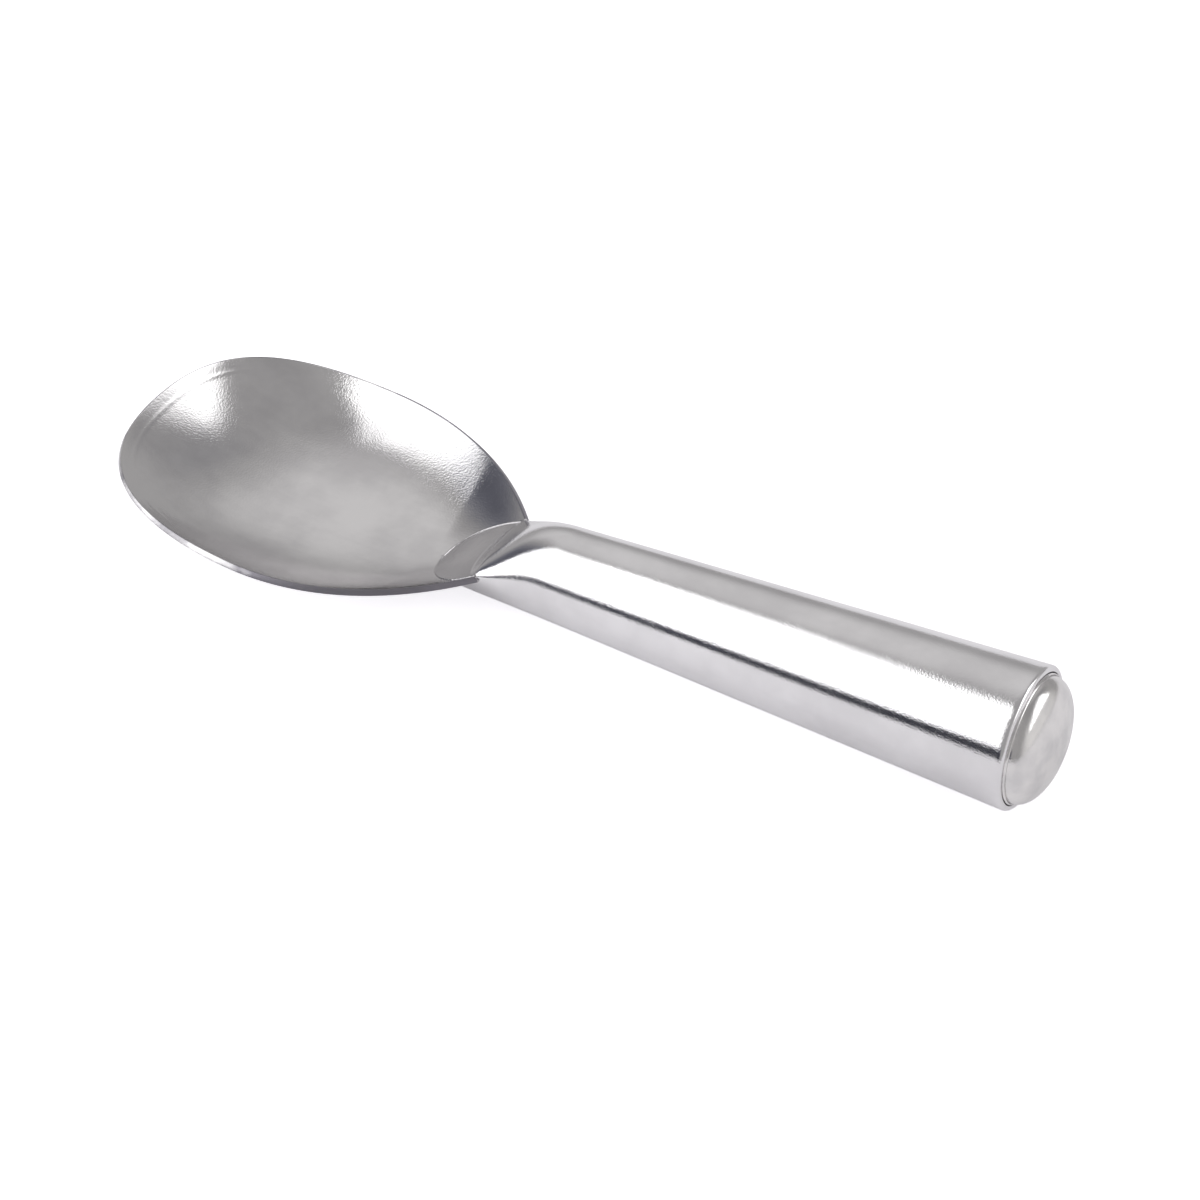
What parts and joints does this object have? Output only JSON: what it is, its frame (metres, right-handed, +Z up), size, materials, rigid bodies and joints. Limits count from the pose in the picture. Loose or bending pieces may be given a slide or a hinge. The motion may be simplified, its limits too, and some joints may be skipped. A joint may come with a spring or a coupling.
{
  "type": "ice cream spade",
  "caption": "Shallow egg-shaped metal scoop blade welded to a tapered round hollow handle with a bent neck, a sloping neck facet and a domed end cap.",
  "frame": {"origin": "middle of the bounding box in X and Y, on the surface that the spade lies on", "axes": "+X along the spade from the blade's tip to the butt of the handle, +Y to the side, +Z up out of the open blade"},
  "size_m": [0.2012, 0.0618, 0.0279],
  "materials": {
    "blade_metal": "soft satin polish with fine grain",
    "neck_plate_metal": "satin",
    "weld_metal": "dressed weld bead",
    "handle_metal": "bright polish, drawn along the handle",
    "thermal_fluid": null,
    "plug_nylon": "turned nylon",
    "ring_rubber": "moulded",
    "cap_metal": "pressed and tumbled satin"
  },
  "bodies": {
    "root": {"bowl": "blade_metal", "neck_plate": "neck_plate_metal", "neck_weld": "weld_metal", "handle_tube": "handle_metal", "thermal_fluid": "thermal_fluid", "bore_plug": "plug_nylon", "plug_o_ring": "ring_rubber", "end_cap": "cap_metal"}
  },
  "joints": []
}
